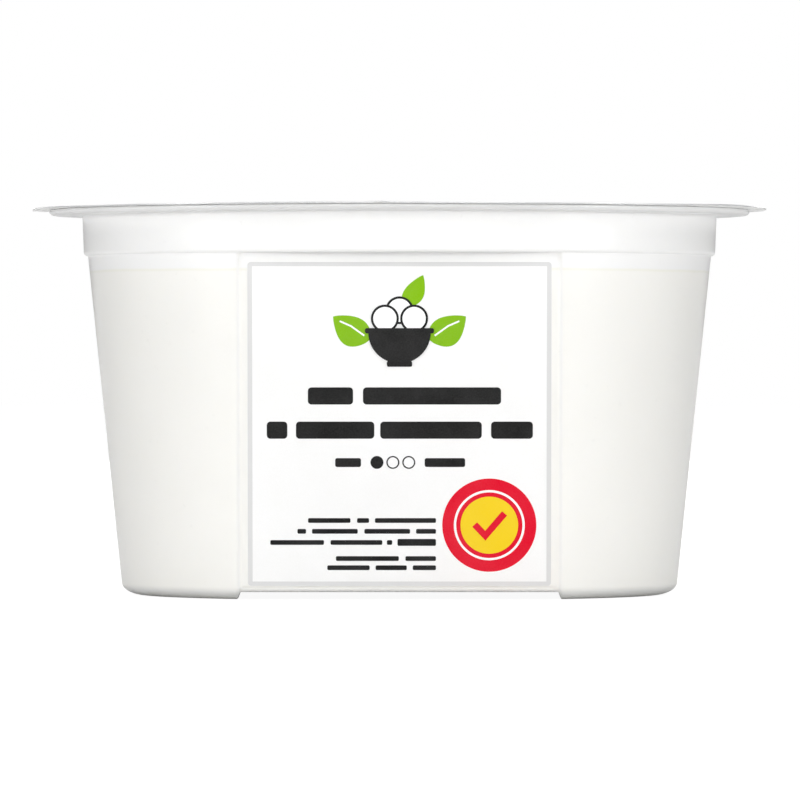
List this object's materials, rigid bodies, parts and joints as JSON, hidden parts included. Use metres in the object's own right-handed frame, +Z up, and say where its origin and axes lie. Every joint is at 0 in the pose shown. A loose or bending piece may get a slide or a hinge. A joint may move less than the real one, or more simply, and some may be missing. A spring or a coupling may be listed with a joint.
{
  "type": "sealed cheese tub",
  "caption": "Shut round plastic tub of small cheeses in brine, with a collar, an overhanging film lid and flat recessed front and back panels that carry labels.",
  "frame": {"origin": "centre of the foot's underside, on the surface that the tub stands on", "axes": "+Z up along the tub's axis, the front label faces -Y, +X to the right as seen from the front"},
  "size_m": [0.1136, 0.1136, 0.0597],
  "materials": {
    "tub_plastic": "milky moulded plastic with a soft gloss, slightly warmer below the level of the brine inside",
    "lid_film": "thin milky peel film, smooth, with a faint seal ring round the rim",
    "label": "white printed film label with a light grey border"
  },
  "bodies": {
    "root": {"tub": "tub_plastic", "lid_film": "lid_film", "front_label": "label", "back_label": "label"}
  },
  "joints": []
}
